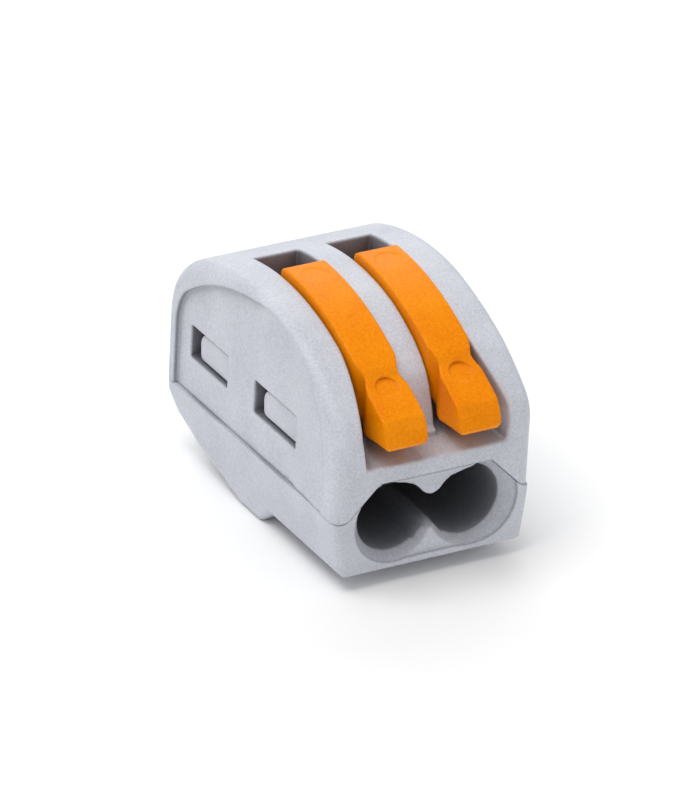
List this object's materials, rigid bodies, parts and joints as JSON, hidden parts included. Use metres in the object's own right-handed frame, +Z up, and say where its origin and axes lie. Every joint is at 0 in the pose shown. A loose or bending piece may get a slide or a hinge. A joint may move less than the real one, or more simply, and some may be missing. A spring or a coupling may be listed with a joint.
{
  "type": "lever wire connector",
  "caption": "Lever wire connector: crowned grey moulded housing with round wire entries in front and orange clamp levers in slots on top.",
  "frame": {"origin": "middle of the flat of the foot that the connector rests on", "axes": "+Z up, -Y out of the front face with the wire entries, +X to the right as seen from the front"},
  "size_m": [0.013, 0.0215, 0.015],
  "materials": {
    "housing_plastic": "light cool grey moulded polyamide, fine matte texture",
    "lever_plastic": "orange moulded polyamide, satin",
    "tinned_copper": "tin-plated copper, satin silver",
    "spring_steel": "rolled stainless spring strip"
  },
  "bodies": {
    "housing": {"upper_housing": "housing_plastic", "lower_housing": "housing_plastic", "current_bar": "tinned_copper", "left_spring_base": "spring_steel", "right_spring_base": "spring_steel"},
    "left_lever": {"left_lever": "lever_plastic"},
    "right_lever": {"right_lever": "lever_plastic"},
    "left_clamp_arm": {"left_spring_arm": "spring_steel"},
    "right_clamp_arm": {"right_spring_arm": "spring_steel"}
  },
  "joints": [
    {"name": "left_lever_hinge", "type": "hinge", "parent": "housing", "child": "left_lever", "pos_m": [-0.00243, -0.0001, 0.0112], "axis": [-1, 0, 0], "range_deg": [0, 90]},
    {"name": "right_lever_hinge", "type": "hinge", "parent": "housing", "child": "right_lever", "pos_m": [0.00243, -0.0001, 0.0112], "axis": [-1, 0, 0], "range_deg": [0, 90]},
    {"name": "left_clamp_flex", "type": "hinge", "parent": "housing", "child": "left_clamp_arm", "pos_m": [-0.00243, 0.0055, 0.0079], "axis": [1, 0, 0], "range_deg": [0, 22.1]},
    {"name": "right_clamp_flex", "type": "hinge", "parent": "housing", "child": "right_clamp_arm", "pos_m": [0.00243, 0.0055, 0.0079], "axis": [1, 0, 0], "range_deg": [0, 22.1]}
  ],
  "couplings": [
    {"joint": "left_clamp_flex", "follows": "left_lever_hinge", "ratio": 0.24444},
    {"joint": "right_clamp_flex", "follows": "right_lever_hinge", "ratio": 0.24444}
  ]
}
